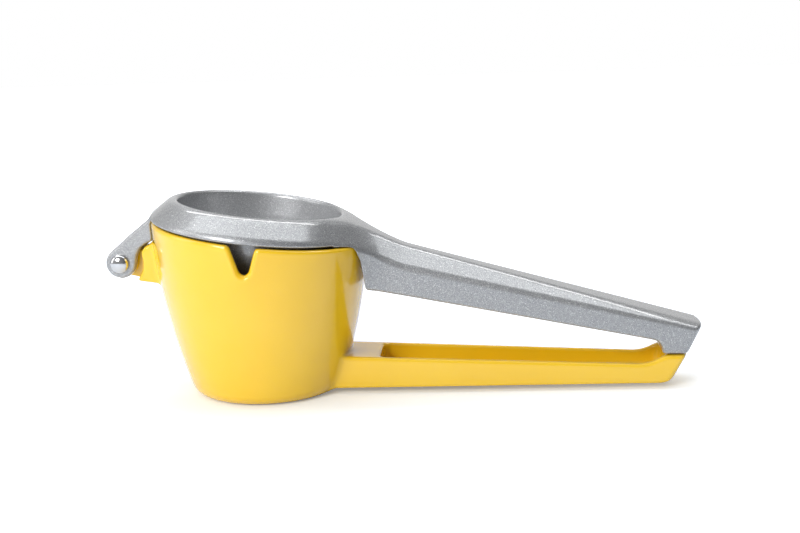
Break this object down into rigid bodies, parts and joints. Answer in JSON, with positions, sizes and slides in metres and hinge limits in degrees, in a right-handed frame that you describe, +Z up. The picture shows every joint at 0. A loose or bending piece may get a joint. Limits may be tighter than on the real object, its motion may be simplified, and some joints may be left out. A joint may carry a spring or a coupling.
{
  "type": "citrus press juicer",
  "caption": "Hand citrus press: a tapered cup with a channel handle and pour notches, and a hinged ring-and-bowl press arm over a strainer.",
  "frame": {"origin": "centre of the cup's flat base, on the surface that it stands on", "axes": "+X along the handles away from the hinge, +Z up out of the cup, and the hinge pin lies along Y"},
  "size_m": [0.2496, 0.0908, 0.0841],
  "materials": {
    "yellow_enamel": "glossy enamel",
    "silver_sparkle_paint": "satin paint with fine metal flake",
    "polished_chrome": "polished",
    "stainless_sheet": "satin",
    "natural_nylon": "natural"
  },
  "bodies": {
    "base": {"cup_with_handle": "yellow_enamel", "strainer_basket": "stainless_sheet"},
    "press": {"press_arm": "silver_sparkle_paint", "hinge_pin": "polished_chrome", "hinge_pin_cap": "polished_chrome", "hinge_washer_left": "natural_nylon", "hinge_washer_right": "natural_nylon"}
  },
  "joints": [
    {"name": "press_hinge", "type": "hinge", "parent": "base", "child": "press", "pos_m": [-0.0592, 0, 0.0566], "axis": [0, -1, 0], "range_deg": [0, 135]}
  ]
}
